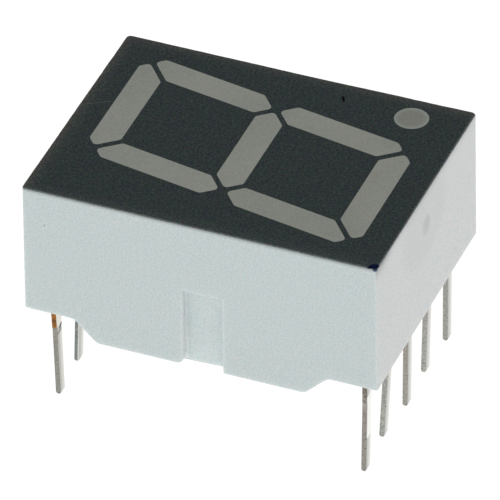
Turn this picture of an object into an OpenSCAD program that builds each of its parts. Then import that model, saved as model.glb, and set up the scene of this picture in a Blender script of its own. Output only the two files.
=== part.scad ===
// Seven segment display: one digit with a decimal point, through-hole pins.
// The digit reads up along +Y and its face looks up along +Z. The origin is the centre of the
// pin pattern, on the plane of the skirts' feet, which is where a circuit board's surface lies.

/* [Housing] */
// Width across the digit, at the skirts' feet
body_w = 12.6; // [12.4:0.01:13]
// Length along the digit, at the skirts' feet
body_l = 17.13; // [16.9:0.01:19]
// Height of the printed face above the circuit board
face_z = 7.88; // [7:0.01:9]
// Height of the end walls' lower edge above the circuit board
wall_z = 1.09; // [0.9:0.01:1.2]
// Underside of the block that holds the light wells
deck_z = 3; // [2.8:0.05:3.3]
// Thickness of the long walls
side_wall = 0.75; // [0.6:0.05:0.8]
// Thickness of the end walls
end_wall = 0.6; // [0.5:0.05:0.65]
// Radius of the upright edges
edge_r = 0.1; // [0.05:0.01:0.3]
// Draft of the outer walls, which lean in towards the face, in degrees
draft = 0.35; // [0:0.05:0.5]
// How far the housing sits from the pins' middle, towards the digit's foot
body_shift = 0.03; // [0:0.01:0.1]

/* [Skirts and marks] */
// Length of a skirt's foot
foot_l = 10.1; // [8:0.1:10.6]
// Length of a skirt where its slopes meet the wall
skirt_l = 12.3; // [11.5:0.1:13]
// Radius that softens a skirt's corners
skirt_r = 0.45; // [0.2:0.05:0.6]
// Width of the groove up the middle of each long wall
groove_w = 1.94; // [1:0.01:3]
// Height of the groove's closed end above the circuit board
groove_z = 4.15; // [3:0.05:5]
// Depth of the groove at the skirt's foot
groove_depth = 0.45; // [0.2:0.05:0.55]
// How far the grooves sit from the housing's middle, towards the digit's foot
groove_shift = 0.14; // [0:0.01:0.3]
// Diameter of the gate mark on the end wall
gate_d = 0.8; // [0.6:0.1:1.4]
// Height of the gate mark above the circuit board
gate_z = 6; // [5:0.01:6.5]

/* [Digit] */
// Height of the digit
digit_h = 14.2; // [13.8:0.1:14.6]
// Width of the digit
digit_w = 7.9; // [7.6:0.1:8.2]
// Width of a stroke
stroke = 1.4; // [1.2:0.05:1.5]
// Clear gap between two strokes
joint_gap = 0.28; // [0.2:0.01:0.4]
// How far the digit's four corners are cut back
corner_cut = 1.02; // [0.8:0.02:1.2]
// Radius of a stroke's corners
stroke_r = 0.2; // [0.05:0.01:0.25]
// Lean of the digit, in degrees
slant = 10; // [5:0.5:11]
// Diameter of the decimal point
point_d = 1.6; // [1.4:0.1:1.7]
// Thickness of the printed layer
ink_t = 0.05; // [0.03:0.01:0.1]

/* [Pins] */
// Distance from pin to pin along a row
pitch = 2.54; // [2.5:0.01:2.54]
// Distance between the two rows
row_gap = 15.24; // [15.2:0.01:15.24]
// Length of the pins below the circuit board's surface
pin_below = 4.37; // [3:0.01:6]
// Width of a pin
pin_w = 0.5; // [0.4:0.05:0.55]
// Thickness of the lead sheet
sheet_t = 0.25; // [0.2:0.01:0.25]
// Back face of the potting, above the circuit board
potting_z = 1.35; // [1.2:0.05:1.6]

/* [Hidden] */
$fn = 48;

eps = 0.01;
half = stroke / 2;
cx = digit_w / 2 - half;           // centre line of the upright strokes
cy = digit_h / 2 - half;           // centre line of the top and bottom strokes
back = joint_gap / sqrt(2);        // how far a stroke's end stands back from the crossing
cut_sum = digit_w / 2 + digit_h / 2 - corner_cut;
corner_steps = 4;
well_along = 0.5;                  // a well's floor opening, as shares of the stroke
well_across = 0.65;
point_at = [4.83, -5.96];
point_floor = 0.7;
pocket_r = 0.3;
gate_depth = 0.03;
gate_x = -0.05;
mouth_head_r = 0.35;               // rounding of a groove's mouth, on the digit's head side
mouth_foot_r = 0.12;
mouth_w = 1;                       // reach of the cutter under the feet, past the mouth

row_y = row_gap / 2;
bend_r = 0.1;                      // inside radius of a lead's bend
foot_common = [0, 0.72, 0.11];     // leans and extra length of the common pin at the digit's foot
pin_cut = 0.08;                    // height of the chamfers on a pin's tip
strip_w = 0.5;                     // strips of the lead frame
narrow_w = 0.36;                   // strips beside the decimal point's die
shoulder_w = 0.56;                 // stub that is left where the tie bar was trimmed off
shoulder_z = -0.52;
die_w = 0.3;
die_h = 0.25;
glue_d = 0.36;
glue_t = 0.02;
wire_d = 0.03;
bond_step = 0.4;                   // die and landing pad, each side of a stroke's centre

housing_white = [0.9, 0.91, 0.9];
ink_grey = [0.2, 0.22, 0.23];
resin_grey = [0.6, 0.6, 0.57];
potting_white = [0.86, 0.86, 0.82];
tin_grey = [0.72, 0.71, 0.68];
die_amber = [0.75, 0.35, 0.2];
gold = [0.95, 0.75, 0.3];
silver_glue = [0.78, 0.78, 0.78];

// ---- outlines ----

function unit(v) = v / norm(v);
function turned(p, a) = [p.x * cos(a) - p.y * sin(a), p.x * sin(a) + p.y * cos(a)];

// Corner b of an outline as an arc of radius r, from the side towards a to the side towards c
function arc_corner(a, b, c, r) =
    let (
        u = unit(a - b),
        v = unit(c - b),
        opening = acos(u * v),
        centre = b + unit(u + v) * r / sin(opening / 2),
        start = b + u * r / tan(opening / 2) - centre,
        sweep = (180 - opening) * sign(cross(b - a, c - b))
    )
    [for (i = [0:corner_steps]) centre + turned(start, sweep * i / corner_steps)];

function rounded(points, radii) =
    let (n = len(points))
    [for (i = [0:n - 1])
        each (radii[i] > 0
            ? arc_corner(points[(i + n - 1) % n], points[i], points[(i + 1) % n], radii[i])
            : [points[i]])];

function all_round(points, r) = rounded(points, [for (p = points) r]);
function flipped_x(points) = [for (i = [len(points) - 1:-1:0]) [-points[i].x, points[i].y]];
function flipped_y(points) = [for (i = [len(points) - 1:-1:0]) [points[i].x, -points[i].y]];
function lean(p) = [p.x + p.y * tan(slant), p.y];

// Outer outline of the housing at a height: the corners of a plate, from the lower left
function plate(w, l) = [
    [-w / 2, -l / 2 - body_shift], [w / 2, -l / 2 - body_shift],
    [w / 2, l / 2 - body_shift], [-w / 2, l / 2 - body_shift]
];
function drawn_in(z) = 2 * z * tan(draft);
function body_outline(z) = all_round(plate(body_w - drawn_in(z), body_l - drawn_in(z)), edge_r);

// The three kinds of stroke, upright, counter-clockwise
top_stroke = [
    [half + back - cx, cy - half],
    [cx - half - back, cy - half],
    [(cut_sum - cy + cx - back) / 2, (cut_sum + cy - cx + back) / 2],
    [cut_sum - cy - half, cy + half],
    [cy + half - cut_sum, cy + half],
    [(back + cy - cx - cut_sum) / 2, (cut_sum + cy - cx + back) / 2]
];
side_stroke = [
    [cx - half, half + back],
    [cx, back],
    [cx + half, half + back],
    [cx + half, cut_sum - cx - half],
    [(cut_sum + cx - cy + back) / 2, (cut_sum - cx + cy - back) / 2],
    [cx - half, cy - half - back]
];
middle_stroke = [
    [back - cx, 0],
    [back + half - cx, -half],
    [cx - half - back, -half],
    [cx - back, 0],
    [cx - half - back, half],
    [back + half - cx, half]
];

// One entry per stroke: outline, centre, lies flat, step from the centre to the wire's landing
STROKES = [
    [top_stroke, [0, cy], true, bond_step],
    [side_stroke, [cx, cy / 2], false, bond_step],
    [flipped_y(side_stroke), [cx, -cy / 2], false, -bond_step],
    [flipped_y(top_stroke), [0, -cy], true, -bond_step],
    [flipped_x(flipped_y(side_stroke)), [-cx, -cy / 2], false, -bond_step],
    [flipped_x(side_stroke), [-cx, cy / 2], false, bond_step],
    [middle_stroke, [-bond_step, 0], true, -bond_step]
];
point_step = 0.29;
POINT = 7;

// Where a die sits and where its wire lands; index 7 is the decimal point
function along(k, s) = STROKES[k][2] ? [s, 0] : [0, s];
function die_at(k) =
    k == POINT ? point_at - [point_step, 0] : lean(STROKES[k][1] - along(k, STROKES[k][3]));
function land_at(k) =
    k == POINT ? point_at + [point_step, 0] : lean(STROKES[k][1] + along(k, STROKES[k][3]));

// Well floor: the stroke's outline drawn in towards the middle of its bonding spots
function floor_point(p, k) =
    let (c = STROKES[k][1])
    let (share = STROKES[k][2] ? [well_along, well_across] : [well_across, well_along])
    [c.x + (p.x - c.x) * share.x, c.y + (p.y - c.y) * share.y];

// ---- shapes shared by several pieces ----

// Solid between an outline at z0 and one with as many points at z1
module between(low, high, z0, z1) {
    n = len(low);
    polyhedron(
        points = [
            for (p = low) [p.x, p.y, z0],
            for (p = high) [p.x, p.y, z1]
        ],
        faces = [
            [for (i = [0:n - 1]) i],
            [for (i = [n - 1:-1:0]) n + i],
            for (i = [0:n - 1]) [i, n + i, n + (i + 1) % n],
            for (i = [0:n - 1]) [i, n + (i + 1) % n, (i + 1) % n]
        ]
    );
}

module body_block(z0, z1) {
    between(body_outline(z0), body_outline(z1), z0, z1);
}

// The pocket at the back, which the potting fills
module pocket_plate() {
    w = body_w - 2 * side_wall;
    l = body_l - 2 * end_wall;
    translate([0, -body_shift]) {
        square([w - 2 * pocket_r, l], center = true);
        square([w, l - 2 * pocket_r], center = true);
        for (sx = [-1, 1], sy = [-1, 1])
            translate([sx * (w / 2 - pocket_r), sy * (l / 2 - pocket_r)])
                circle(pocket_r);
    }
}

// Solid that fills a stroke's well from the lead frame to the face
module stroke_well(k) {
    top = all_round(STROKES[k][0], stroke_r);
    between(
        [for (p = top) lean(floor_point(p, k))],
        [for (p = top) lean(p)],
        deck_z, face_z
    );
}

module point_well() {
    translate([point_at.x, point_at.y, deck_z])
        cylinder(h = face_z - deck_z, d1 = point_d * point_floor, d2 = point_d);
}

module well(k) {
    if (k == POINT) point_well();
    else stroke_well(k);
}

// ---- housing and print ----

// Everything below the walls' lower edge, which dips to the circuit board at the skirts
module under_cut() {
    far = body_l;
    foot = foot_l / 2;
    top = skirt_l / 2;
    outline = rounded(
        [[-far, -2], [far, -2], [far, wall_z], [top, wall_z],
            [foot, 0], [-foot, 0], [-top, wall_z], [-far, wall_z]],
        [0, 0, 0, skirt_r, skirt_r, skirt_r, skirt_r, 0]
    );
    translate([-body_w, -body_shift, 0])
        rotate([90, 0, 90])
            linear_extrude(2 * body_w)
                polygon(outline);
}

// Groove of one long wall, with a rounded mouth at the skirt's foot
module wall_groove() {
    low = -body_shift - groove_shift - groove_w / 2;
    high = low + groove_w;
    outline = rounded(
        [[low - mouth_w, -1], [high + mouth_w, -1], [high + mouth_w, -eps], [high, -eps],
            [high, groove_z], [low, groove_z], [low, -eps], [low - mouth_w, -eps]],
        [0, 0, 0, mouth_head_r, 0, 0, mouth_foot_r, 0]
    );
    translate([body_w / 2 - groove_depth, 0, 0])
        rotate([90, 0, 90])
            linear_extrude(groove_depth + 1)
                polygon(outline);
}

module gate_mark() {
    wall_y = body_shift + (body_l - drawn_in(gate_z)) / 2;
    translate([gate_x, gate_depth - wall_y, gate_z])
        rotate([90, 0, 0])
            cylinder(h = 1, d = gate_d);
}

module reflector_housing() {
    color(housing_white)
        difference() {
            body_block(-1, face_z - ink_t);
            under_cut();
            translate([0, 0, -2])
                linear_extrude(deck_z + 2)
                    pocket_plate();
            for (k = [0:POINT]) well(k);
            for (side = [0, 1])
                mirror([side, 0, 0])
                    wall_groove();
            gate_mark();
        }
}

module face_ink() {
    color(ink_grey)
        difference() {
            body_block(face_z - ink_t, face_z);
            for (k = [0:POINT]) well(k);
        }
}

// ---- resin ----

module casting(k) {
    color(resin_grey)
        difference() {
            well(k);
            glue_dab(k);
            die(k);
            wire(k);
        }
}

module potting_resin() {
    color(potting_white)
        difference() {
            translate([0, 0, potting_z])
                linear_extrude(deck_z - potting_z)
                    pocket_plate();
            common_metal();
            for (k = [0:POINT]) signal_metal(k);
        }
}

// ---- lead frame ----

// One entry per signal lead: pin column counted from the middle, row, and the pin's shape, which
// is its inward lean above the shoulder and below it, in degrees, and its extra length
LEADS = [
    [1, 1, [0, 0, 0]], [2, 1, [0, 0, 0]],
    [1, -1, [0.38, 1.49, 0.04]], [-1, -1, [0, 3.03, 0.07]],
    [-2, -1, [0.22, 1.14, 0.13]], [-1, 1, [3.3, -2.4, -0.11]],
    [-2, 1, [2.17, 1.1, -0.1]], [2, -1, [0, 0.3, 0.02]]
];

// Flat strip through points that differ in x or in y
module strip(points, w) {
    for (i = [0:len(points) - 2]) {
        a = points[i];
        b = points[i + 1];
        translate([min(a.x, b.x) - w / 2, min(a.y, b.y) - w / 2, deck_z - sheet_t])
            cube([abs(a.x - b.x) + w, abs(a.y - b.y) + w, sheet_t]);
    }
}

// Bend and pin at column x; row 1 is past the digit's head and row -1 past its foot
module pin(x, row, pin_shape) {
    bend_y = row_y - sheet_t / 2 - bend_r;
    bend_z = deck_z - sheet_t - bend_r;
    inner = row_y - sheet_t / 2;
    outer = row_y + sheet_t / 2;
    cut = sheet_t / 5;
    tip = -pin_below - pin_shape[2];
    function push(z) =
        (bend_z - max(z, shoulder_z)) * tan(pin_shape[0])
        + (shoulder_z - min(z, shoulder_z)) * tan(pin_shape[1]);
    mirror([0, row < 0 ? 1 : 0, 0]) {
        translate([x - strip_w / 2, bend_y, bend_z])
            rotate([90, 0, 90])
                rotate_extrude(angle = 90)
                    translate([bend_r, 0])
                        square([sheet_t, strip_w]);
        translate([x - shoulder_w / 2, 0, 0])
            rotate([90, 0, 90])
                linear_extrude(shoulder_w)
                    polygon([
                        [inner, bend_z],
                        [inner - push(shoulder_z), shoulder_z],
                        [outer - push(shoulder_z), shoulder_z],
                        [outer, bend_z]
                    ]);
        translate([x - pin_w / 2, 0, 0])
            rotate([90, 0, 90])
                linear_extrude(pin_w)
                    polygon([
                        [inner - push(shoulder_z), shoulder_z],
                        [inner - push(tip + pin_cut), tip + pin_cut],
                        [inner + cut - push(tip), tip],
                        [outer - cut - push(tip), tip],
                        [outer - push(tip + pin_cut), tip + pin_cut],
                        [outer - push(shoulder_z), shoulder_z]
                    ]);
    }
}

module signal_metal(k) {
    x = LEADS[k][0] * pitch;
    row = LEADS[k][1];
    run_y = row * (row_y - sheet_t / 2 - bend_r - strip_w / 2);
    pad = land_at(k);
    if (k == POINT) {
        strip([[x, run_y], [x, pad.y - strip_w]], strip_w);
        strip([[x + (strip_w - narrow_w) / 2, run_y], [x + (strip_w - narrow_w) / 2, pad.y]], narrow_w);
    } else {
        strip([[x, run_y], [x, pad.y], pad], strip_w);
    }
    pin(x, row, LEADS[k][2]);
}

module common_metal() {
    run_y = row_y - sheet_t / 2 - bend_r - strip_w / 2;
    strip([[0, -run_y], [0, run_y]], strip_w);
    for (k = [0:5])
        strip([[0, die_at(k).y], die_at(k)], strip_w);
    point_die = die_at(POINT);
    strip([[0, die_at(2).y], [point_die.x, die_at(2).y], point_die], narrow_w);
    pin(0, 1, [0, 0, 0]);
    pin(0, -1, foot_common);
}

module lead_common() {
    color(tin_grey) common_metal();
}

module lead(k) {
    color(tin_grey) signal_metal(k);
}

// ---- dies, glue and bond wires ----

module glue_dab(k) {
    translate([die_at(k).x, die_at(k).y, deck_z])
        cylinder(h = glue_t, d = glue_d);
}

module die_attach() {
    color(silver_glue)
        for (k = [0:POINT]) glue_dab(k);
}

module die(k) {
    color(die_amber)
        translate([die_at(k).x - die_w / 2, die_at(k).y - die_w / 2, deck_z + glue_t])
            cube([die_w, die_w, die_h]);
}

// A half ring over the gap, then straight down to the neighbouring lead
module wire(k) {
    run = land_at(k) - die_at(k);
    span = norm(run);
    drop = glue_t + die_h;
    color(gold)
        translate([die_at(k).x, die_at(k).y, deck_z])
            rotate([0, 0, atan2(run.y, run.x)]) {
                translate([span / 2, 0, drop])
                    rotate([90, 0, 0])
                        rotate_extrude(angle = 180)
                            translate([span / 2, 0])
                                circle(d = wire_d, $fn = 16);
                translate([span, 0, 0])
                    cylinder(h = drop, d = wire_d, $fn = 16);
            }
}

// ---- the pieces ----

reflector_housing();
face_ink();
potting_resin();
casting(0);  // segment_a
casting(1);  // segment_b
casting(2);  // segment_c
casting(3);  // segment_d
casting(4);  // segment_e
casting(5);  // segment_f
casting(6);  // segment_g
casting(POINT);  // decimal_point
lead_common();
lead(0);  // lead_a
lead(1);  // lead_b
lead(2);  // lead_c
lead(3);  // lead_d
lead(4);  // lead_e
lead(5);  // lead_f
lead(6);  // lead_g
lead(POINT);  // lead_dp
die_attach();
die(0);  // die_a
die(1);  // die_b
die(2);  // die_c
die(3);  // die_d
die(4);  // die_e
die(5);  // die_f
die(6);  // die_g
die(POINT);  // die_dp
wire(0);  // wire_a
wire(1);  // wire_b
wire(2);  // wire_c
wire(3);  // wire_d
wire(4);  // wire_e
wire(5);  // wire_f
wire(6);  // wire_g
wire(POINT);  // wire_dp
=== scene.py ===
import bpy
import bmesh
import math
from mathutils import Matrix, Vector


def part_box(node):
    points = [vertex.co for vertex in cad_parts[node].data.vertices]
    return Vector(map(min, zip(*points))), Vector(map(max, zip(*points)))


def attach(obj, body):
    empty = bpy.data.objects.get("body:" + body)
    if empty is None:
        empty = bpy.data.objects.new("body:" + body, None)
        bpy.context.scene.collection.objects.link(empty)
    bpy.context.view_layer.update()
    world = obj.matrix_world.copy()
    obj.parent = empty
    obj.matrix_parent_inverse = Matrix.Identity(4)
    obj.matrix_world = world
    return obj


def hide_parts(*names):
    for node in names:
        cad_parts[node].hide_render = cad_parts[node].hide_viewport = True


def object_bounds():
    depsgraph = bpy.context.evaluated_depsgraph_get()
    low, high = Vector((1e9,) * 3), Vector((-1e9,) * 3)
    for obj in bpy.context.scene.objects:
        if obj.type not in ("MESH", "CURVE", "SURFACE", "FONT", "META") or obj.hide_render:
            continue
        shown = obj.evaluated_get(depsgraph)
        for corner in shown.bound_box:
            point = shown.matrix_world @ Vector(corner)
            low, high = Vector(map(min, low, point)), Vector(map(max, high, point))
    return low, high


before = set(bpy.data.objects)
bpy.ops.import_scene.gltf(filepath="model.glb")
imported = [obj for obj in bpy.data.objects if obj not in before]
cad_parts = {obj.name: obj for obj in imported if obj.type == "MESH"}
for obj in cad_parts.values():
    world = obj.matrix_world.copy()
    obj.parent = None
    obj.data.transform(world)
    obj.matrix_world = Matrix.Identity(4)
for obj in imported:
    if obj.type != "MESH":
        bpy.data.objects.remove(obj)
cadLow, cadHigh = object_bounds()

# places and sizes on the pieces are in mm, from the pins' middle; grains are in waves per mm;
# a fade is where something starts to show and where it is full, and often its share after that
mm = 0.001
closeBy = 0.001                               # in mm: points nearer than this count as one
bodyName = "root"


# one output socket of a node; sums and products of links add Math nodes
class Link:
    def __init__(self, plan, socket):
        self.plan = plan
        self.socket = socket

    def out(self, name):                      # another output of the same node
        return Link(self.plan, self.socket.node.outputs[name])

    def __add__(self, other):
        return self.plan.maths("ADD", self, other)

    def __radd__(self, other):
        return self.plan.maths("ADD", other, self)

    def __sub__(self, other):
        return self.plan.maths("SUBTRACT", self, other)

    def __rsub__(self, other):
        return self.plan.maths("SUBTRACT", other, self)

    def __mul__(self, other):
        return self.plan.maths("MULTIPLY", self, other)

    def __rmul__(self, other):
        return self.plan.maths("MULTIPLY", other, self)

    def __truediv__(self, other):
        return self.plan.maths("DIVIDE", self, other)

    def __rtruediv__(self, other):
        return self.plan.maths("DIVIDE", other, self)

    def __neg__(self):
        return self.plan.maths("MULTIPLY", self, -1)

    def __abs__(self):
        return self.plan.maths("ABSOLUTE", self)

    def __gt__(self, other):
        return self.plan.maths("GREATER_THAN", self, other)

    def __lt__(self, other):
        return self.plan.maths("LESS_THAN", self, other)

    def least(self, other):
        return self.plan.maths("MINIMUM", self, other)

    def most(self, other):
        return self.plan.maths("MAXIMUM", self, other)

    def done(self, operation):                # any operation on this value alone
        return self.plan.maths(operation, self)

    def rise(self, low, high):                # 0 below low, 1 above high; swap them for a fall
        return self.plan.add("ShaderNodeMapRange", {"interpolation_type": "SMOOTHSTEP"},
                             {"Value": self, "From Min": low, "From Max": high})


# a node tree that is being built
class Plan:
    def __init__(self, tree):
        self.tree = tree

    def add(self, kind, settings=None, inputs=None):
        node = self.tree.nodes.new(kind)
        for name, value in (settings or {}).items():
            setattr(node, name, value)
        for name, value in (inputs or {}).items():
            for part in value if isinstance(value, list) else [value]:
                if isinstance(part, Link):
                    self.tree.links.new(part.socket, node.inputs[name])
                else:
                    node.inputs[name].default_value = part
        return Link(self, node.outputs[0]) if node.outputs else None

    def maths(self, operation, *values):
        return self.add("ShaderNodeMath", {"operation": operation}, dict(enumerate(values)))

    def split(self, vector):
        parts = self.add("ShaderNodeSeparateXYZ", {}, {0: vector})
        return parts, parts.out("Y"), parts.out("Z")

    def join(self, x, y, z):
        return self.add("ShaderNodeCombineXYZ", {}, {0: x, 1: y, 2: z})

    def vectors(self, operation, a, b):
        return self.add("ShaderNodeVectorMath", {"operation": operation}, {0: a, 1: b})

    def scaled(self, vector, factor):
        return self.add("ShaderNodeVectorMath", {"operation": "SCALE"}, {0: vector, "Scale": factor})

    def mix(self, factor, a, b):              # colours; the mix node's colour sockets are 6, 7 and out 2
        return self.add("ShaderNodeMix", {"data_type": "RGBA"}, {0: factor, 6: a, 7: b}).out(2)

    def faded(self, value, fade, a, b):       # fade: where b starts to show, where it is full, its share
        start, full, share = fade
        return self.mix(value.rise(start, full) * share, a, b)

    def noise(self, vector, scale, detail=2.0, roughness=0.5):
        return self.add("ShaderNodeTexNoise", {},
                        {"Vector": vector, "Scale": scale, "Detail": detail, "Roughness": roughness})

    def bump(self, height, distance, strength=1.0):
        return self.add("ShaderNodeBump", {},
                        {"Height": height, "Distance": distance * mm, "Strength": strength})

    # speckle; level and tint say how strongly brightness and hue vary
    def grained(self, colour, vector, scale, level, tint):
        speckle = self.noise(vector, scale, 2, 0.6)
        hues = self.scaled(self.vectors("SUBTRACT", speckle.out("Color"), (0.5, 0.5, 0.5)), tint)
        even = self.scaled(colour, (speckle - 0.5) * level + 1)
        return self.vectors("MULTIPLY", even, self.vectors("ADD", hues, (1, 1, 1)))

    def spot(self, vector, centre, size, soft=0.5, stretch=(1, 1, 1)):    # 1 inside, 0 outside
        middle = tuple(c * s for c, s in zip(centre, stretch))
        away = self.vectors("DISTANCE", self.vectors("MULTIPLY", vector, stretch), middle)
        return away.out("Value").rise(size, size * (1 - soft))

    def surface(self, inputs):                # principled shader and output
        shader = self.add("ShaderNodeBsdfPrincipled", {}, inputs)
        self.add("ShaderNodeOutputMaterial", {}, {"Surface": shader})


def linear(r, g, b):                          # display values 0-255 to the linear colour a socket takes
    parts = [v / 255 for v in (r, g, b)]
    return tuple(v / 12.92 if v <= 0.04045 else ((v + 0.055) / 1.055) ** 2.4 for v in parts) + (1,)


def lengthOf(dx, dy):                         # of an offset in two directions
    return (dx * dx + dy * dy).done("SQRT")


def newMaterial(name):                        # also gives the plan and the place on the part in mm
    material = bpy.data.materials.new(name)
    material.use_nodes = True
    material.node_tree.nodes.clear()
    plan = Plan(material.node_tree)
    return material, plan, plan.scaled(plan.add("ShaderNodeTexCoord").out("Object"), 1 / mm)


def geometryPlan(name, inputs):               # inputs: name -> default, in mm
    tree = bpy.data.node_groups.new(name, "GeometryNodeTree")
    tree.is_modifier = True
    tree.interface.new_socket("Geometry", in_out="INPUT", socket_type="NodeSocketGeometry")
    for socketName, default in inputs.items():
        kind = "NodeSocketInt" if isinstance(default, int) else "NodeSocketFloat"
        tree.interface.new_socket(socketName, in_out="INPUT", socket_type=kind).default_value = default
    tree.interface.new_socket("Geometry", in_out="OUTPUT", socket_type="NodeSocketGeometry")
    plan = Plan(tree)
    return plan, plan.add("NodeGroupInput")


def finishPlan(plan, geometry, material):     # every tree ends the same way
    small = plan.add("GeometryNodeTransform", {}, {"Geometry": geometry, "Scale": (mm, mm, mm)})
    solid = plan.add("GeometryNodeRealizeInstances", {}, {"Geometry": small})
    done = plan.add("GeometryNodeSetMaterial", {}, {"Geometry": solid, "Material": material})
    plan.add("NodeGroupOutput", {}, {"Geometry": done})
    return plan.tree


def closedSlab(plan, sheet, height):          # a flat sheet pulled up into a closed block
    raised = plan.add("GeometryNodeExtrudeMesh", {"mode": "FACES"}, {
        "Mesh": sheet, "Offset": plan.join(0, 0, 1), "Offset Scale": height, "Individual": False})
    under = plan.add("GeometryNodeFlipFaces", {}, {"Mesh": sheet})
    block = plan.add("GeometryNodeJoinGeometry", {}, {"Geometry": [raised, under]})
    return plan.add("GeometryNodeMergeByDistance", {}, {"Geometry": block, "Distance": closeBy})


def newPiece(name, mesh):
    piece = bpy.data.objects.new(name, mesh)
    bpy.context.scene.collection.objects.link(piece)
    return piece


def keepShape(piece):                         # what the modifiers make becomes the plain mesh
    depsgraph = bpy.context.evaluated_depsgraph_get()
    mesh = bpy.data.meshes.new_from_object(piece.evaluated_get(depsgraph), depsgraph=depsgraph)
    piece.modifiers.clear()
    piece.data = mesh
    mesh.name = piece.name


def bakeNodes(piece, tree, values):
    modifier = piece.modifiers.new("build", "NODES")
    modifier.node_group = tree
    for item in tree.interface.items_tree:
        if item.in_out == "INPUT" and item.name in values:
            modifier[item.identifier] = values[item.name]
    keepShape(piece)


def loopsPiece(name, loops, fields=None):     # closed outlines in mm; fields: name -> a value per point
    mesh = bpy.data.meshes.new(name)
    points, edges = [], []
    for loop in loops:
        first = len(points)
        points += [(x, y, 0) for x, y in loop]
        edges += [(first + i, first + (i + 1) % len(loop)) for i in range(len(loop))]
    mesh.from_pydata(points, edges, [])
    for field, values in (fields or {}).items():
        mesh.attributes.new(field, "FLOAT", "POINT").data.foreach_set("value", values)
    return newPiece(name, mesh)


def shadeSmooth(mesh, degrees=35):
    mesh.shade_smooth()
    mesh.set_sharp_from_angle(angle=math.radians(degrees))


def cadCopy(name, node):                      # a CAD node's mesh, joined up and without flat seams
    shape = bmesh.new()
    shape.from_mesh(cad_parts[node].data)
    bmesh.ops.remove_doubles(shape, verts=shape.verts, dist=1e-6)
    bmesh.ops.dissolve_limit(shape, angle_limit=math.radians(1), verts=shape.verts, edges=shape.edges)
    return newPiece(name, bpy.data.meshes.new(name)), shape


def isCorner(edge, degrees):
    return len(edge.link_faces) == 2 and edge.calc_face_angle(0) > math.radians(degrees)


def soften(piece, shape, widest, widthOf):    # widthOf: edge -> bevel in mm
    weight = shape.edges.layers.float.new("bevel_weight_edge")
    for edge in shape.edges:
        edge[weight] = widthOf(edge) / widest
    shape.to_mesh(piece.data)
    shape.free()
    shadeSmooth(piece.data)
    bevel = piece.modifiers.new("soften", "BEVEL")
    bevel.limit_method = "WEIGHT"
    bevel.width = widest * mm
    bevel.segments = 3
    bevel.use_clamp_overlap = False
    even = piece.modifiers.new("even", "WEIGHTED_NORMAL")
    even.keep_sharp = True
    keepShape(piece)


def settle(piece, node, material=None):    # the calls that every finished piece needs
    if material:
        piece.data.materials.clear()
        piece.data.materials.append(material)
    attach(piece, bodyName)
    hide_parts(node)


cameraSet = {
    "azimuth": -67.645, "elevation": 37.284, "roll": -0.853, "lens": 621.4,
    "distance": 0.39219, "aim": (0.000127, 0.000103, 0.002095),    # in metres, from the pins' middle
}


def lookingFrom(azimuth, elevation):
    a, e = math.radians(azimuth), math.radians(elevation)
    return Vector((math.sin(a) * math.cos(e), -math.cos(a) * math.cos(e), math.sin(e)))


def makeCamera():
    roll = math.radians(cameraSet["roll"])
    azimuth = math.radians(cameraSet["azimuth"])
    back = lookingFrom(cameraSet["azimuth"], cameraSet["elevation"])
    right = Vector((math.cos(azimuth), math.sin(azimuth), 0))
    up = back.cross(right)
    across = right * math.cos(roll) + up * math.sin(roll)
    above = up * math.cos(roll) - right * math.sin(roll)
    data = bpy.data.cameras.new("camera")
    data.lens = cameraSet["lens"]
    data.sensor_width = 36
    data.clip_start = 0.01
    data.clip_end = 20
    camera = bpy.data.objects.new("camera", data)
    bpy.context.scene.collection.objects.link(camera)
    turn = Matrix((across, above, back)).transposed().to_4x4()
    place = Vector(cameraSet["aim"]) + back * cameraSet["distance"]
    camera.matrix_world = Matrix.Translation(place) @ turn
    bpy.context.scene.camera = camera


studio = {
    "world": (1.0, 1.0, 1.0, 1), "worldStrength": 0.45,
    "floorRadius": 2.0,                       # in metres
    "floorSides": 64, "floorGlow": 1.0, "floorShade": 0.08,
    # name, azimuth, elevation, distance and size in metres, strength in watts, colour
    "lamps": [
        ("leftFront", -100, 35, 0.30, 0.22, 0.1965, (0.604, 1.0, 0.997)),
        ("rightFront", 10, 35, 0.30, 0.22, 0.149, (1.0, 0.922, 0.922)),
        ("back", 130, 35, 0.32, 0.25, 0.09, (1.0, 1.0, 1.0)),
    ],
}


def makeStudio():
    world = bpy.data.worlds.new("studio")
    bpy.context.scene.world = world
    world.use_nodes = True
    world.node_tree.nodes.clear()
    plan = Plan(world.node_tree)
    glow = plan.add("ShaderNodeBackground", {},
                    {"Color": studio["world"], "Strength": studio["worldStrength"]})
    plan.add("ShaderNodeOutputWorld", {}, {"Surface": glow})
    middle = (cadLow + cadHigh) / 2
    for name, azimuth, elevation, distance, size, strength, colour in studio["lamps"]:
        back = lookingFrom(azimuth, elevation)
        data = bpy.data.lights.new(name, "AREA")
        data.shape = "DISK"
        data.size = size
        data.energy = strength
        data.color = colour
        lamp = bpy.data.objects.new(name, data)
        bpy.context.scene.collection.objects.link(lamp)
        lamp.location = middle + back * distance
        lamp.rotation_mode = "QUATERNION"
        lamp.rotation_quaternion = back.to_track_quat("Z", "Y")
    bpy.context.scene.view_settings.view_transform = "Standard"


def makeFloor():
    mesh = bpy.data.meshes.new("floor")
    shape = bmesh.new()
    bmesh.ops.create_circle(shape, cap_ends=True, segments=studio["floorSides"],
                            radius=studio["floorRadius"])
    shape.to_mesh(mesh)
    shape.free()
    mesh.transform(Matrix.Translation((0, 0, cadLow.z)))
    floor = newPiece("floor", mesh)
    material, plan, _ = newMaterial("floorPaper")
    shade = studio["floorShade"]
    plan.surface({
        "Base Color": (shade, shade, shade, 1), "Roughness": 0.9, "Specular IOR Level": 0.0,
        "Emission Color": (1, 1, 1, 1), "Emission Strength": studio["floorGlow"]})
    mesh.materials.append(material)


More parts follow.
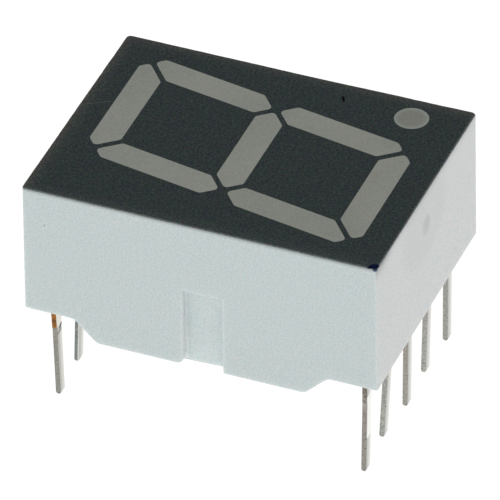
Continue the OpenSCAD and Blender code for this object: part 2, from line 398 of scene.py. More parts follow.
housing = {
    "white": linear(209, 212, 212), "cool": linear(203, 213, 212), "warm": linear(214, 211, 211),
    "grain": 17.0, "tintGrain": 10.2,         # of the moulded skin, and of its cool and warm tints
    "warmFade": (0.3, 0.7, 1), "whiteFade": (0.25, 0.75, 0.5),
    "mottle": (11.0, 0.44, 0.14),             # grain, then how far brightness and hue vary
    "clear": 0.35,                            # how far light spreads in the plastic
    "halfWidth": 6.3, "draft": 0.0061, "faceInset": 0.048, "printZ": 7.83,
    "wornCorner": (0.16, 0.42, 0.22),         # reach along x, y and z
    # bevel widths, and the angle in degrees from which an edge gets one
    "rim": 0.04, "headRim": 0.1, "grooveRim": 0.04, "pocketRim": 0.05, "roundFrom": 28,
    "steep": 0.8,                             # share of an upright edge's length that it climbs
    # where those edges are: near the outside, not near the top, at the head, round the pocket,
    # and for the groove how deep in the wall, how far along it and from which height
    "outside": 0.08, "topEdge": 0.25, "headY": 8.3, "pocketTop": 1.3, "grooveZone": (0.6, 1.4, 3),
    # the gate on the foot wall: x, z and radius; its recess is found by depth and made nearly flush
    "footY": -8, "gate": (-0.05, 6.03, 0.4), "recess": (0.01, 0.1), "flush": 0.002,
    "recessReach": 1.2, "crispReach": 1.4,    # in radii: where the recess is looked for, and no bevels
    # the gate's grey trace, its own grey with the flattened recess's shade painted in, and the dull zone
    # round it: middle x and z, half width and height
    "traceAndShade": (-0.12, 6.03, 0.6, 0.7), "traceFade": (1.0, 0.4), "traceShade": linear(183, 186, 184),
    "traceSlope": (0.15, 0.25, 0.75),         # how its strength grows across and up, and in its middle
    "dullZone": (-0.4, 6.3, 2.9, 2.2), "dullFade": (1.1, 0.75), "dullShare": 0.055,
    "groove": {
        "middle": -0.17, "half": 1.1, "top": 4.25, "deepFrom": 0.04, "deepTo": 0.6,
        # painted light that lifts the groove's shade: brightness of its floor, sides, inner corner, a
        # painted darker strip by the far side and a painted highlight on the lip beside that
        "floor": 1.06, "side": 1.17, "corner": 1.26, "strip": 0.96, "lip": 1.04,
        "sideTo": 0.4, "cornerFrom": 0.36, "cornerFade": (0.84, 0.9), "stripFade": (-0.75, -0.88),
        "lipY": -1.0, "lipHalf": 0.06, "lipTop": 4.2,
    },
    # ink dust under the print: on the foot wall it grows towards one corner, on the side wall it is even
    "dust": {
        "above": 0.02, "footY": -8.5, "grows": (-4.0, -5.5),
        "reach": 0.18, "moreReach": 0.07, "share": 0.35, "moreShare": 0.4,
        "sideX": -6, "sideFade": (0.19, 0), "sideShare": 0.37,
    },
    "speck": (-6.25, 7.43, 6.03), "speckRadius": 0.05, "speckShade": linear(110, 108, 104),
}


def inOval(x, z, oval):                       # offsets and distance from its middle, 1 on its rim
    middleX, middleZ, halfWide, halfHigh = oval
    dx, dz = (x - middleX) / halfWide, (z - middleZ) / halfHigh
    return dx, dz, lengthOf(dx, dz)


def gateMarks(plan, colour, x, y, z):
    onFoot = y < housing["footY"]
    dull = inOval(x, z, housing["dullZone"])[2].rise(*housing["dullFade"]) * onFoot
    colour = plan.scaled(colour, 1 - dull * housing["dullShare"])
    # the gate's own grey with painted shade of its flattened recess, stronger across and up
    dx, dz, away = inOval(x, z, housing["traceAndShade"])
    slopeX, slopeZ, middle = housing["traceSlope"]
    traceAndShade = away.rise(*housing["traceFade"]) * onFoot * (dx * slopeX + dz * slopeZ + middle)
    return plan.mix(traceAndShade.most(0).least(1), colour, housing["traceShade"])


def grooveLight(x, y, z):                     # painted light and shade: the groove's brightness against the wall's
    groove = housing["groove"]
    depth = housing["halfWidth"] - z * housing["draft"] - abs(x)
    off = y - groove["middle"]
    inside = (depth > groove["deepFrom"]) * (depth < groove["deepTo"])
    inside = inside * (abs(off) < groove["half"]) * (z < groove["top"])
    light = (depth < groove["sideTo"]) * (groove["side"] - groove["floor"]) + groove["floor"]
    corner = (depth > groove["cornerFrom"]) * off.rise(*groove["cornerFade"])
    light = light + corner * (groove["corner"] - groove["floor"])
    light = light + off.rise(*groove["stripFade"]) * (groove["strip"] - groove["floor"])
    lip = (1 - abs(off - groove["lipY"]) / groove["lipHalf"]).most(0)
    lip = lip * (depth < groove["deepFrom"]) * (z < groove["lipTop"]) * (groove["lip"] - 1)
    return inside * (light - 1) + lip + 1


def inkDust(x, y, z):                         # how much of it lies on the walls
    dust = housing["dust"]
    below = housing["printZ"] - z
    along = x.rise(*dust["grows"])
    foot = (-below / (along * dust["moreReach"] + dust["reach"])).done("EXPONENT")
    foot = foot * (along * dust["moreShare"] + dust["share"]) * (y < dust["footY"])
    side = below.rise(*dust["sideFade"]) * dust["sideShare"] * (x < dust["sideX"])
    return foot.most(side) * (below > -dust["above"])


def housingWhite():
    material, plan, place = newMaterial("housingWhite")
    x, y, z = plan.split(place)
    fine = plan.noise(place, housing["grain"], 1)
    tint = plan.split(plan.noise(place, housing["tintGrain"], 1).out("Color"))[0]
    colour = plan.faded(tint, housing["warmFade"], housing["cool"], housing["warm"])
    colour = plan.faded(fine, housing["whiteFade"], colour, housing["white"])
    colour = plan.grained(colour, place, *housing["mottle"])
    colour = gateMarks(plan, colour, x, y, z)
    # painted light in the groove, with a painted dark strip and a painted highlight on its lip
    colour = plan.scaled(colour, grooveLight(x, y, z))
    colour = plan.mix(inkDust(x, y, z), colour, ink["dust"])
    speck = plan.spot(place, housing["speck"], housing["speckRadius"])
    colour = plan.mix(speck, colour, housing["speckShade"])
    drip = plan.spot(place, *ink["drip"], stretch=ink["dripStretch"])
    colour = plan.mix(drip, colour, ink["navy"])
    plan.surface({
        "Base Color": colour, "Roughness": fine * 0.12 + 0.42, "IOR": 1.5,
        "Subsurface Weight": 0.6, "Subsurface Radius": (1.0, 1.0, 1.0),
        "Subsurface Scale": housing["clear"] * mm,
        "Normal": plan.bump(fine, 0.003, 0.5)})
    return material


def cutCorner(shape, corner, reach):          # planes off the worn corner and closes the cut
    x, y, z = reach
    sx, sy = (1 if c < 0 else -1 for c in corner[:2])
    points = [corner + Vector((sx * x, 0, 0)) * mm, corner + Vector((0, sy * y, 0)) * mm,
              corner - Vector((0, 0, z)) * mm]
    normal = (points[1] - points[0]).cross(points[2] - points[0])
    if normal.dot(corner - points[0]) < 0:
        normal = -normal
    geometry = shape.verts[:] + shape.edges[:] + shape.faces[:]
    cut = bmesh.ops.bisect_plane(shape, geom=geometry, dist=1e-7, plane_co=points[0], plane_no=normal,
                                 clear_outer=True)
    rim = [part for part in cut["geom_cut"] if isinstance(part, bmesh.types.BMEdge)]
    bmesh.ops.contextual_create(shape, geom=rim)


def makeHousing():
    low, high = (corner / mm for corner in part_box("reflector_housing"))
    piece, shape = cadCopy("housing", "reflector_housing")
    inset = housing["faceInset"]
    cutCorner(shape, Vector((low.x + inset, low.y + inset, high.z)) * mm, housing["wornCorner"])
    gateX, gateZ, gateRadius = housing["gate"]
    shallow, deep = housing["recess"]

    def gateReach(x, z):                      # distance from the gate's middle, in radii
        return math.hypot(x - gateX, z - gateZ) / gateRadius

    for vert in shape.verts:                  # the gate shows by its colour alone, the recess's shade painted in
        x, y, z = vert.co / mm
        wall = low.y + z * housing["draft"]
        if gateReach(x, z) < housing["recessReach"] and shallow < y - wall < deep:
            vert.co.y = (wall + housing["flush"]) * mm

    def widthOf(edge):
        x, y, z = (edge.verts[0].co + edge.verts[1].co) / 2 / mm
        inWall = high.x - abs(x)              # how deep in the long wall
        toEnd = min(y - low.y, high.y - y)
        climb = abs(edge.verts[0].co.z - edge.verts[1].co.z)
        upright = climb > housing["steep"] * edge.calc_length()
        atGate = y < 0 and gateReach(x, z) < housing["crispReach"]
        if not isCorner(edge, housing["roundFrom"]) or z > high.z - housing["topEdge"] or atGate:
            return 0
        deepTo, halfLength, fromZ = housing["grooveZone"]
        if inWall < deepTo and abs(y) < halfLength and (upright or z > fromZ):
            return housing["grooveRim"]
        if min(inWall, toEnd) < housing["outside"]:
            return housing["headRim"] if y > housing["headY"] and not upright else housing["rim"]
        return housing["pocketRim"] if z < housing["pocketTop"] else 0

    soften(piece, shape, housing["headRim"], widthOf)
    settle(piece, "reflector_housing", housingWhite())
    print("housing:", len(piece.data.polygons), "faces")


digit = {
    "height": 14.2, "width": 7.9, "stroke": 1.4, "gap": 0.28, "cornerCut": 1.02,
    "slant": 10.0, "cornerRadius": 0.2, "cornerCuts": 4,
    "along": 0.5, "across": 0.65,             # a well's floor as shares of its opening
    "point": (4.83, -5.96), "pointSize": 1.6, "pointFloor": 0.7, "pointSides": 48,
    "sag": 0.02, "sagReach": 0.45,            # the cured resin's dip, and where it is full
}


def strokeOutlines():                         # name -> (upright corner points, centre, lies flat)
    half = digit["stroke"] / 2
    x, y = digit["width"] / 2 - half, digit["height"] / 2 - half
    back = digit["gap"] / math.sqrt(2)
    cut = (digit["width"] + digit["height"]) / 2 - digit["cornerCut"]
    mitre = ((cut - y + x - back) / 2, (cut + y - x + back) / 2)
    flank = ((cut + x - y + back) / 2, (cut - x + y - back) / 2)
    tip = x - back - half
    top = [(back + half - x, y - half), (x - half - back, y - half), mitre,
           (cut - y - half, y + half), (y + half - cut, y + half), (-mitre[0], mitre[1])]
    side = [(x - half, half + back), (x, back), (x + half, half + back),
            (x + half, cut - x - half), flank, (x - half, y - half - back)]
    middle = [(back - x, 0), (-tip, -half), (tip, -half), (x - back, 0), (tip, half), (-tip, half)]

    def flip(points, sx, sy):
        turned = [(px * sx, py * sy) for px, py in points]
        return turned if sx * sy > 0 else turned[::-1]

    return {
        "a": (top, (0.0, y), True), "b": (side, (x, y / 2), False),
        "c": (flip(side, 1, -1), (x, -y / 2), False), "d": (flip(top, 1, -1), (0.0, -y), True),
        "e": (flip(side, -1, -1), (-x, -y / 2), False), "f": (flip(side, -1, 1), (-x, y / 2), False),
        "g": (middle, (0.0, 0.0), True),
    }


def leaned(points):
    lean = math.tan(math.radians(digit["slant"]))
    return [(x + y * lean, y) for x, y in points]


def pointOutline():
    (x, y), sides, radius = digit["point"], digit["pointSides"], digit["pointSize"] / 2
    turns = [2 * math.pi * i / sides for i in range(sides)]
    return [(x + radius * math.cos(t), y + radius * math.sin(t)) for t in turns]


resin = {
    # plain, dim and warm
    "segment": (linear(143, 142, 133), linear(137, 137, 128), linear(143, 136, 119)),
    # the point's tones are the segments' made darker: painted shade of its smaller well
    "point": (linear(124, 123, 113), linear(118, 118, 108), linear(127, 121, 105)),
    "clouds": 0.35, "warmClouds": 1.4, "fine": (14, 3, 0.6),    # grain, and detail and its roughness
    "cloudFade": (0.3, 0.7, 1), "warmFade": (0.62, 0.8, 0.4), "fineFade": (0.5, 0.9, 0.12),
    # the point's paler ring is a painted highlight
    "ring": linear(136, 139, 131), "ringFade": (0.5, 0.76, 1),
    "mottle": (10.0, 0.42, 0.2),
}


def diffuserResin(name):
    plain, dim, warm = resin[name]
    material, plan, place = newMaterial(name + "Resin")
    fine = plan.noise(place, *resin["fine"])
    colour = plan.faded(plan.noise(place, resin["clouds"]), resin["cloudFade"], plain, dim)
    colour = plan.faded(plan.noise(place, resin["warmClouds"]), resin["warmFade"], colour, warm)
    colour = plan.faded(fine, resin["fineFade"], colour, dim)
    if name == "point":                       # a paler ring just inside the hole, a painted highlight
        x, y = plan.split(place)[:2]
        away = lengthOf(x - digit["point"][0], y - digit["point"][1])
        colour = plan.faded(away, resin["ringFade"], colour, resin["ring"])
    colour = plan.grained(colour, place, *resin["mottle"])
    plan.surface({
        "Base Color": colour, "Roughness": fine * 0.1 + 0.32, "IOR": 1.5,
        "Normal": plan.bump(fine, 0.0012, 0.5)})
    return material


def castingTree(name, material):              # a stroke's outline to a leaned, tapered, dished block
    plan, given = geometryPlan(name, {
        "Corner Radius": digit["cornerRadius"], "Top": 7.88, "Floor": 3.0,
        "Along X": digit["along"], "Along Y": digit["across"], "Centre X": 0.0, "Centre Y": 0.0,
        "Slant": digit["slant"], "Sag": digit["sag"], "Levels": 3})
    curve = plan.add("GeometryNodeMeshToCurve", {}, {"Mesh": given})
    outline = plan.add("GeometryNodeFilletCurve", {"mode": "POLY"}, {
        "Curve": curve, "Count": digit["cornerCuts"], "Radius": given.out("Corner Radius"),
        "Limit Radius": True})
    cap = plan.add("GeometryNodeFillCurve", {"mode": "NGONS"}, {"Curve": outline})
    depth = given.out("Top") - given.out("Floor")
    block = closedSlab(plan, cap, depth)
    x, y, z = plan.split(plan.add("GeometryNodeInputPosition"))
    low = 1 - z / depth
    pullX = (x - given.out("Centre X")) * (1 - given.out("Along X")) * low
    pullY = (y - given.out("Centre Y")) * (1 - given.out("Along Y")) * low
    tapered = plan.add("GeometryNodeSetPosition", {}, {
        "Geometry": block, "Position": plan.join(x - pullX, y - pullY, z + given.out("Floor"))})
    fine = plan.add("GeometryNodeSubdivideMesh", {}, {"Mesh": tapered, "Level": given.out("Levels")})
    rim = plan.add("GeometryNodeTransform", {}, {
        "Geometry": outline, "Translation": plan.join(0, 0, given.out("Top"))})
    rimEdges = plan.add("GeometryNodeCurveToMesh", {}, {"Curve": rim})
    near = plan.add("GeometryNodeProximity", {"target_element": "EDGES"}, {0: rimEdges})
    onTop = z > given.out("Top") - closeBy
    dip = near.out("Distance").rise(0, digit["sagReach"]) * given.out("Sag") * onTop
    lean = given.out("Slant").done("RADIANS").done("TANGENT")
    dished = plan.add("GeometryNodeSetPosition", {}, {
        "Geometry": fine, "Position": plan.join(x + y * lean, y, z - dip)})
    return finishPlan(plan, dished, material)


def makeCastings():
    tree = castingTree("castingTree", diffuserResin("segment"))
    low, high = (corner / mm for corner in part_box("segment_a"))
    along, across = digit["along"], digit["across"]
    shared = {"Floor": low.z, "Top": high.z}
    for name, (points, centre, flat) in strokeOutlines().items():
        piece = loopsPiece("casting_" + name, [points])
        bakeNodes(piece, tree, shared | {
            "Along X": along if flat else across, "Along Y": across if flat else along,
            "Centre X": centre[0], "Centre Y": centre[1]})
        shadeSmooth(piece.data)
        settle(piece, "segment_" + name)
    piece = loopsPiece("casting_point", [pointOutline()])
    bakeNodes(piece, castingTree("pointTree", diffuserResin("point")), shared | {
        "Corner Radius": 0.0, "Along X": digit["pointFloor"], "Along Y": digit["pointFloor"],
        "Centre X": digit["point"][0], "Centre Y": digit["point"][1], "Slant": 0.0, "Levels": 2})
    shadeSmooth(piece.data)
    settle(piece, "decimal_point")
    print("castings:", len(strokeOutlines()) + 1)


ink = {
    "middle": linear(51, 57, 58), "green": linear(52, 61, 59), "blue": linear(51, 57, 62),
    "brown": linear(61, 61, 61), "thin": linear(83, 79, 73), "pale": linear(65, 71, 71),
    "nearPale": linear(115, 119, 119), "black": linear(0, 11, 44), "navy": linear(26, 52, 90),
    "dust": linear(45, 51, 51),
    "fine": (14.0, 2, 0.6), "clouds": (2.6, 3, 0.7),    # grain, detail and its roughness
    "cloudFades": {"green": (0.42, 0.62, 1), "blue": (0.5, 0.68, 0.8), "brown": (0.52, 0.72, 0.6)},
    "paleFade": (0.3, 0.8, 0.35), "mottle": (9.0, 1.7, 1.25),
    # in from its border the print is pale, thin or, on the near sides, worn pale
    "palerFade": (0.8, 0, 0.75), "wornFade": (0.09, 0, 0.85),
    "thinEdge": 0.2, "thinRim": 0.08, "thinRimShare": 0.3, "thinShare": 0.9,
    # the print's edge from the block's along the far long side, from foot to head
    "bow": [0.0, 0.03, 0.03, 0.06, 0.08, 0.055, 0.055, 0.045, 0.04],
    "corners": {"worn": 0.05, "foot": 0.2, "head": 0.2, "near": 0.05},    # radii
    "cornerCuts": 5,                          # points that round each of them
    # how far the border strays, its waves and their detail, and how far apart its points are
    "ragged": 0.018, "wander": (2.2, 3), "step": 0.12,
    # a dark tick and a hairline scratch, from end to end
    "tick": ((4.96, -2.617), (5.248, -2.463)), "tickFade": (0.0744, 0.0372), "tickDepth": 0.5,
    "scratch": ((0.52, 8.34), (1.19, 7.26)), "scratchFade": (0.025, 0.005, 0.55),
    "tickTone": linear(1, 1, 5), "scratchTone": linear(112, 116, 108),
    # a wet spot of ink at the worn corner and its drip on the walls: place and radius
    "blot": ((-6.18, -8.42, 7.88), 0.36), "blotSoft": 0.3,
    "drip": ((-6.24, -8.49, 7.86), 0.2), "dripStretch": (1, 1, 1.5),
}


def capsule(x, y, start, end):                # distance from a straight mark
    (ax, ay), (bx, by) = start, end
    lengthSquared = (bx - ax) ** 2 + (by - ay) ** 2
    t = (((x - ax) * (bx - ax) + (y - ay) * (by - ay)) / lengthSquared).most(0).least(1)
    return lengthOf(x - ax - t * (bx - ax), y - ay - t * (by - ay))


def inkGrey():
    material, plan, place = newMaterial("inkGrey")
    low, high = (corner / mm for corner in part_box("face_ink"))
    x, y = plan.split(place)[:2]
    fine = plan.noise(place, *ink["fine"])
    red, green, blue = plan.split(plan.noise(place, *ink["clouds"]).out("Color"))
    colour = ink["middle"]
    for tone, cloud in ("green", green), ("blue", blue), ("brown", red):
        colour = plan.faded(cloud, ink["cloudFades"][tone], colour, ink[tone])
    colour = plan.faded(fine, ink["paleFade"], colour, ink["pale"])
    far = (high.x - x).least(high.y - y)      # print is thinnest along the far side and the head
    border = far.least(x - low.x).least(y - low.y)
    colour = plan.faded(far.least(x - low.x), ink["palerFade"], colour, ink["pale"])
    thin = (far / -ink["thinEdge"]).done("EXPONENT")
    thin = thin + (border / -ink["thinRim"]).done("EXPONENT") * ink["thinRimShare"]
    colour = plan.mix(thin.least(1) * ink["thinShare"], colour, ink["thin"])
    colour = plan.faded((x - low.x).least(y - low.y), ink["wornFade"], colour, ink["nearPale"])
    colour = plan.grained(colour, place, *ink["mottle"])
    scratch = capsule(x, y, *ink["scratch"])
    colour = plan.faded(scratch, ink["scratchFade"], colour, ink["scratchTone"])
    tick = capsule(x, y, *ink["tick"]).rise(*ink["tickFade"])
    colour = plan.mix(tick, colour, ink["tickTone"])
    blot = plan.spot(place, *ink["blot"], soft=ink["blotSoft"])
    colour = plan.mix(blot, colour, ink["black"])
    plan.surface({
        "Base Color": colour, "Roughness": fine * 0.15 + 0.55, "Specular IOR Level": 0.04,
        "Normal": plan.bump(fine - tick * ink["tickDepth"], 0.003, 0.6)})
    return material


def inkTree(material):                        # outlines to a thin sheet with a ragged outer edge
    plan, given = geometryPlan("inkTree", {
        "Bottom": 7.83, "Thickness": 0.05, "Ragged": ink["ragged"], "Step": ink["step"]})
    curve = plan.add("GeometryNodeMeshToCurve", {}, {"Mesh": given})
    fields = {"data_type": "FLOAT"}
    radius = plan.add("GeometryNodeInputNamedAttribute", fields, {"Name": "radius"})
    border = plan.add("GeometryNodeInputNamedAttribute", fields, {"Name": "border"}) > 0.5
    outline = plan.add("GeometryNodeFilletCurve", {"mode": "POLY"}, {
        "Curve": curve, "Count": ink["cornerCuts"], "Radius": radius, "Limit Radius": True})
    fine = plan.add("GeometryNodeResampleCurve", {"mode": "LENGTH"}, {
        "Curve": outline, "Selection": border, "Length": given.out("Step")})
    wander = plan.noise(plan.add("GeometryNodeInputPosition"), *ink["wander"]).out("Color")
    x, y = plan.split(plan.vectors("SUBTRACT", wander, (0.5, 0.5, 0.5)))[:2]
    amount = given.out("Ragged") * border * 2
    moved = plan.add("GeometryNodeSetPosition", {}, {
        "Geometry": fine, "Offset": plan.join(x * amount, y * amount, 0)})
    sheet = plan.add("GeometryNodeFillCurve", {"mode": "TRIANGLES"}, {"Curve": moved})
    placed = plan.add("GeometryNodeTransform", {}, {
        "Geometry": closedSlab(plan, sheet, given.out("Thickness")),
        "Translation": plan.join(0, 0, given.out("Bottom"))})
    return finishPlan(plan, placed, material)


def makeInk():
    low, high = (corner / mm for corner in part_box("face_ink"))
    wornX, wornY = housing["wornCorner"][:2]
    radii = ink["corners"]
    bows = ink["bow"]
    rise = (high.y - low.y) / (len(bows) - 1)
    border = [(low.x, low.y + wornY), (low.x + wornX, low.y)]
    border += [(high.x - bow, low.y + rise * i) for i, bow in enumerate(bows)]
    border += [(low.x, high.y)]
    straight = [0.0] * (len(bows) - 2)
    radius = [radii["worn"]] * 2 + [radii["foot"]] + straight + [radii["head"], radii["near"]]
    windows = [leaned(outline[0]) for outline in strokeOutlines().values()]
    radius += [digit["cornerRadius"]] * sum(len(window) for window in windows)
    radius += [0.0] * digit["pointSides"]
    isBorder = [1.0] * len(border) + [0.0] * (len(radius) - len(border))
    loops = [border] + windows + [pointOutline()]
    piece = loopsPiece("inkLayer", loops, {"radius": radius, "border": isBorder})
    bakeNodes(piece, inkTree(inkGrey()), {"Bottom": low.z, "Thickness": high.z - low.z})
    shadeSmooth(piece.data)
    settle(piece, "face_ink")
    print("print:", len(piece.data.polygons), "faces")


leads = {
    "flat": linear(240, 240, 236), "flatDim": linear(216, 216, 208), "burnish": linear(188, 188, 182),
    "copper": linear(180, 112, 34), "copperDark": linear(98, 58, 26), "speck": linear(52, 50, 46),
    "film": linear(224, 226, 222), "stained": linear(166, 154, 144), "stainDark": linear(108, 94, 84),
    "pitch": 2.54, "edge": 0.022,             # between columns, and the bevels' width
    "columns": {"common": 0, "a": 1, "b": 2, "c": 1, "d": -1, "e": -2, "f": -1, "g": -2, "dp": 2},
    # the step under the shoulder stays crisp: its height, half its zone, and its least angle
    "shoulder": -0.52, "shoulderZone": 0.02, "roundFrom": 40,
    # grain, detail and its roughness; the streaks' grain is along x, y and z
    "rough": (12, 3, 0.65), "streaks": (20, 20, 3), "streakDetail": (1.0, 3, 0.6),
    "tarnish": (5, 3, 0.7), "flecks": (10, 3, 0.7),
    "shearedAndShadedFade": (0.5, 0.8),                # how far a face turns from the broad faces
    "flatFade": (-0.28, 0.22, 1), "dimFade": (0.4, 0.75, 0.5), "tarnishFade": (0.42, 0.62, 1),
    "cutFade": (0.33, 0.67, 1), "cutTones": (0.66, 1.32),    # the sheared edge, partly painted shade, from dark to light
    "fleckFade": (0.6, 0.7), "fleckSide": (-0.06, -0.22), "fleckShare": 0.45,
    # stretches where a broad face is bright, as a painted highlight, or filmed over: lower end, upper
    # end, colour
    "shine": {"e": (-2.6, -0.2, linear(255, 255, 252)), "g": (-0.45, 1.5, linear(244, 240, 234))},
    "shineFades": (0.1, 0.08),                # half as long as it takes to show and to end
    # the pin's middle y at z = 0 and its slope, the dull band's sides from there, bright tone, dulling
    "burnished": {"f": (7.456, -0.0419, -0.085, 0.075, linear(222, 222, 218), 0.75)},
    "bandFade": 0.02,
    "stub": (-0.51, -0.43), "stubTop": 1.2,   # bare copper: how it fades in below, and its top
    "filmFade": (-0.1, 0.12),                 # about the height of the resin's creep
    "nickStretch": (1, 1, 1.6),
    # the sheared edge's tone, partly painted shade, bare copper where the tie bar was cut, height of the
    # resin's creep, and dark nicks, partly painted shade of small notches: place from the pin's column,
    # size, strength
    "marks": {
        "common": ((168, 162, 154), 0.15, 0.9, [((-0.2, -7.72, -2.73), 0.06, 0.8)]),
        "a": ((150, 147, 140), 0.3, 0.9, []), "b": ((150, 147, 140), 0.3, 0.9, []),
        "c": ((174, 173, 167), 0.15, 0.9, [((-0.25, -7.5, -3.87), 0.06, 0.8)]),
        "d": ((170, 170, 162), 0.15, 0.9, [((-0.25, -7.62, -2.64), 0.06, 0.8)]),
        "e": ((153, 145, 139), 0.9, 0.9, [
            ((-0.25, -7.6, -0.54), 0.08, 0.8), ((-0.25, -7.66, -2.62), 0.05, 0.8),
            ((-0.25, -7.6, -3.17), 0.06, 0.8)]),
        "f": ((153, 156, 148), 0.0, 0.2, []),
        "g": ((152, 148, 139), 1.0, 0.9, [
            ((0.05, 7.375, -0.58), 0.18, 0.9), ((0.18, 7.375, -0.52), 0.2, 1.0),
            ((-0.1, 7.37, -0.8), 0.2, 0.5), ((0.08, 7.37, -0.76), 0.2, 0.6)]),
        "dp": ((168, 170, 162), 0.15, 0.9, []),
    },
}


def tinPlate(name):
    tone, copper, creep, nickShades = leads["marks"][name]
    middle = leads["columns"][name] * leads["pitch"]
    material, plan, place = newMaterial("tinPlate_" + name)
    x, y, z = plan.split(place)
    across = x - middle
    nx, _, nz = plan.split(plan.add("ShaderNodeTexCoord").out("Normal"))
    # narrow and downward faces take the darker cut tone, broad faces the near-white one: partly the
    # cut's own finish, partly painted shade on the narrow faces and painted reflection of bright
    # surroundings on the broad ones
    shearedAndShaded = abs(nx).rise(*leads["shearedAndShadedFade"]).most((-nz).rise(*leads["shearedAndShadedFade"]))
    rough = plan.noise(place, *leads["rough"])
    streakX, streakY, streakZ = leads["streaks"]
    along = plan.join(x * streakX, y * streakY, z * streakZ)
    streak = plan.noise(along, *leads["streakDetail"])
    flat = plan.faded(across, leads["flatFade"], leads["burnish"], leads["flat"])
    flat = plan.faded(streak, leads["dimFade"], flat, leads["flatDim"])
    # a stretch of broad face painted brighter; on e a painted highlight
    if name in leads["shine"]:
        start, end, shade = leads["shine"][name]
        fadeIn, fadeOut = leads["shineFades"]
        lit = z.rise(start - fadeIn, start + fadeIn) * z.rise(end + fadeOut, end - fadeOut)
        flat = plan.mix(lit, flat, shade)
    dark, light = (tuple(v * level for v in linear(*tone)) for level in leads["cutTones"])
    cut = plan.faded(rough, leads["cutFade"], dark, light)
    if name in leads["burnished"]:            # the punch left a dull band between bright ones
        start, slope, bandLow, bandHigh, shade, dull = leads["burnished"][name]
        off = y - z * slope - start
        soft = leads["bandFade"]
        band = off.rise(bandLow - soft, bandLow + soft) * off.rise(bandHigh + soft, bandHigh - soft)
        cut = plan.mix(band, shade, plan.scaled(cut, dull))
    colour = plan.mix(shearedAndShaded, flat, cut)
    fresh, old = ("copper", "copperDark") if copper > 0.9 else ("stained", "stainDark")
    tarnish = plan.noise(place, *leads["tarnish"])
    bare = plan.faded(tarnish, leads["tarnishFade"], leads[fresh], leads[old])
    stub = z.rise(*leads["stub"]) * (z < leads["stubTop"])
    colour = plan.mix(stub * shearedAndShaded * copper, colour, bare)
    flecks = plan.noise(place, *leads["flecks"]).rise(*leads["fleckFade"])
    flecks = flecks * across.rise(*leads["fleckSide"])
    colour = plan.mix(flecks * leads["fleckShare"], colour, leads["speck"])
    # dark nicks: partly dark stain, partly painted shade of small notches
    for spot, size, strength in nickShades:
        nickShade = plan.spot(place, (middle + spot[0], *spot[1:]), size, stretch=leads["nickStretch"])
        colour = plan.mix(nickShade * strength, colour, leads["speck"])
    filmLow, filmHigh = leads["filmFade"]
    film = z.rise(creep + filmLow, creep + filmHigh)
    colour = plan.mix(film, colour, leads["film"])
    plan.surface({
        "Base Color": colour, "Metallic": (1 - film) * 0.15,
        "Roughness": rough * 0.2 + shearedAndShaded * 0.15 + 0.4,
        "Normal": plan.bump(rough * shearedAndShaded * 2 + streak * 0.3, 0.006, 0.7)})
    return material


def makeLeads():
    def widthOf(edge):
        z = (edge.verts[0].co.z + edge.verts[1].co.z) / 2 / mm
        atStep = abs(z - leads["shoulder"]) <= leads["shoulderZone"]
        return leads["edge"] if isCorner(edge, leads["roundFrom"]) and not atStep else 0

    for name in leads["marks"]:
        piece, shape = cadCopy("pin_" + name, "lead_" + name)
        soften(piece, shape, leads["edge"], widthOf)
        settle(piece, "lead_" + name, tinPlate(name))
    print("leads:", len(leads["marks"]))


potting = {
    "cream": linear(226, 226, 214), "amber": linear(206, 200, 176), "amberFade": (0.3, 0.7, 1),
    "clouds": (0.5, 3), "grain": 6,
    # the tree's inputs: the pins' rows, how high and how far the resin creeps up, and the bubbles
    "shape": {
        "Pitch": leads["pitch"], "Row": 7.62, "Wall Climb": 0.18, "Wall Reach": 0.3, "Pin Climb": 0.3,
        "Pin Reach": 0.16, "Ripple": 0.03, "Bubbles": 26, "Seed": 7},
    # the creep starts this far from a pin's middle, less along its broad side; ripples' grain
    "pinHalf": 0.14, "pinFlatness": 0.35, "ripples": 0.5,
    "facingDown": -0.9,                       # a normal's z where bubbles may stand
    "bubbleRadius": 0.05, "bubbleSizes": (0.4, 0.9),    # least share of that radius, and how much more
}


def pottingResin():
    material, plan, place = newMaterial("pottingResin")
    fine = plan.noise(place, potting["grain"])
    clouds = plan.noise(place, *potting["clouds"])
    plan.surface({
        "Base Color": plan.faded(clouds, potting["amberFade"], potting["cream"], potting["amber"]),
        "Roughness": fine * 0.1 + 0.18, "IOR": 1.54, "Normal": plan.bump(fine, 0.003, 0.5)})
    return material


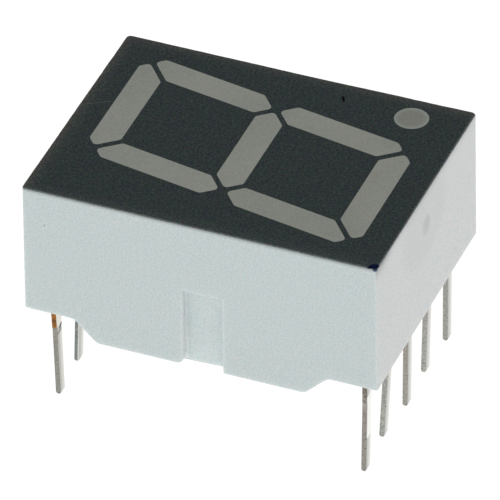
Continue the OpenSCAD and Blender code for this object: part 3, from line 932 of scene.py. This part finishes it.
def pottingTree(material):                    # a block whose back creeps up the walls and pins
    plan, given = geometryPlan("pottingTree", {
        "Width": 11.0, "Length": 15.8, "Centre Y": 0.0, "Back": 1.35, "Front": 3.0} | potting["shape"])
    width, length = given.out("Width"), given.out("Length")
    grid = plan.add("GeometryNodeMeshGrid", {}, {
        "Size X": width, "Size Y": length, "Vertices X": 101, "Vertices Y": 141})
    block = closedSlab(plan, grid, given.out("Front") - given.out("Back"))
    position = plan.add("GeometryNodeInputPosition")
    x, y, z = plan.split(position)
    wall = (width / 2 - abs(x)).least(length / 2 - abs(y))
    atWall = (-wall / given.out("Wall Reach")).done("EXPONENT")
    column = x / given.out("Pitch")
    offColumn = (column - column.done("ROUND")) * given.out("Pitch")
    offRow = abs(y + given.out("Centre Y")) - given.out("Row")
    away = (offColumn * offColumn * potting["pinFlatness"] + offRow * offRow).done("SQRT")
    atPin = ((potting["pinHalf"] - away) / given.out("Pin Reach")).least(0).done("EXPONENT")
    ripple = (plan.noise(position, potting["ripples"]) - 0.5) * given.out("Ripple")
    climb = atWall * given.out("Wall Climb") + atPin * given.out("Pin Climb") + ripple
    drop = climb * (z < closeBy)
    shaped = plan.add("GeometryNodeSetPosition", {}, {
        "Geometry": block,
        "Position": plan.join(x, y + given.out("Centre Y"), z - drop + given.out("Back"))})
    facing = plan.split(plan.add("GeometryNodeInputNormal"))[2]
    spots = plan.add("GeometryNodeDistributePointsOnFaces", {"distribute_method": "RANDOM"}, {
        "Mesh": shaped, "Selection": facing < potting["facingDown"],
        "Density": given.out("Bubbles") / (width * length), "Seed": given.out("Seed")})
    ball = plan.add("GeometryNodeMeshIcoSphere", {}, {
        "Radius": potting["bubbleRadius"], "Subdivisions": 2})
    size = plan.add("FunctionNodeRandomValue", {"data_type": "FLOAT"}, {"Seed": given.out("Seed")})
    least, more = potting["bubbleSizes"]
    bubbles = plan.add("GeometryNodeInstanceOnPoints", {}, {
        "Points": spots, "Instance": ball, "Scale": size.out(1) * more + least})
    whole = plan.add("GeometryNodeJoinGeometry", {}, {"Geometry": [shaped, bubbles]})
    return finishPlan(plan, whole, material)


def makePotting():
    low, high = (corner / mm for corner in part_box("potting_resin"))
    piece = newPiece("potting", bpy.data.meshes.new("potting"))
    bakeNodes(piece, pottingTree(pottingResin()), {
        "Width": high.x - low.x, "Length": high.y - low.y, "Centre Y": (low.y + high.y) / 2,
        "Back": low.z, "Front": high.z})
    shadeSmooth(piece.data, 60)
    settle(piece, "potting_resin")
    print("potting:", len(piece.data.polygons), "faces")


inside = {
    "die": (linear(150, 62, 40), linear(120, 50, 34)), "dieGrain": 20,
    "gold": (linear(236, 190, 96), linear(214, 164, 74)), "goldGrain": 40,
    "glue": (linear(196, 196, 194), linear(150, 150, 150)), "glueGrain": 60,
    "patchFade": (0.4, 0.6, 1),
}


def dieCrystal():
    material, plan, place = newMaterial("dieCrystal")
    fine = plan.noise(place, inside["dieGrain"])
    plan.surface({
        "Base Color": plan.faded(fine, inside["patchFade"], *inside["die"]),
        "Roughness": fine * 0.1 + 0.15, "Normal": plan.bump(fine, 0.0005)})
    return material


def bondGold():
    material, plan, place = newMaterial("bondGold")
    fine = plan.noise(place, inside["goldGrain"])
    plan.surface({
        "Base Color": plan.mix(fine, *inside["gold"]), "Metallic": 1.0,
        "Roughness": fine * 0.1 + 0.2})
    return material


def silverGlue():
    material, plan, place = newMaterial("silverGlue")
    flakes = plan.noise(place, inside["glueGrain"])
    plan.surface({
        "Base Color": plan.faded(flakes, inside["patchFade"], *inside["glue"]), "Metallic": 0.6,
        "Roughness": flakes * 0.3 + 0.35, "Normal": plan.bump(flakes, 0.001)})
    return material


def dressInside():                            # dies, wires and glue keep their CAD shapes
    finishes = {"die_attach": silverGlue(), "die_": dieCrystal(), "wire_": bondGold()}
    for name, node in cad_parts.items():
        for start, material in finishes.items():
            if name.startswith(start):
                node.data.materials.clear()
                node.data.materials.append(material)
                break
    print("inside: dies, wires and glue finished")


makeCamera()
makeStudio()
makeFloor()
print("camera, light and floor")
makeHousing()
makeCastings()
makeInk()
makeLeads()
makePotting()
dressInside()
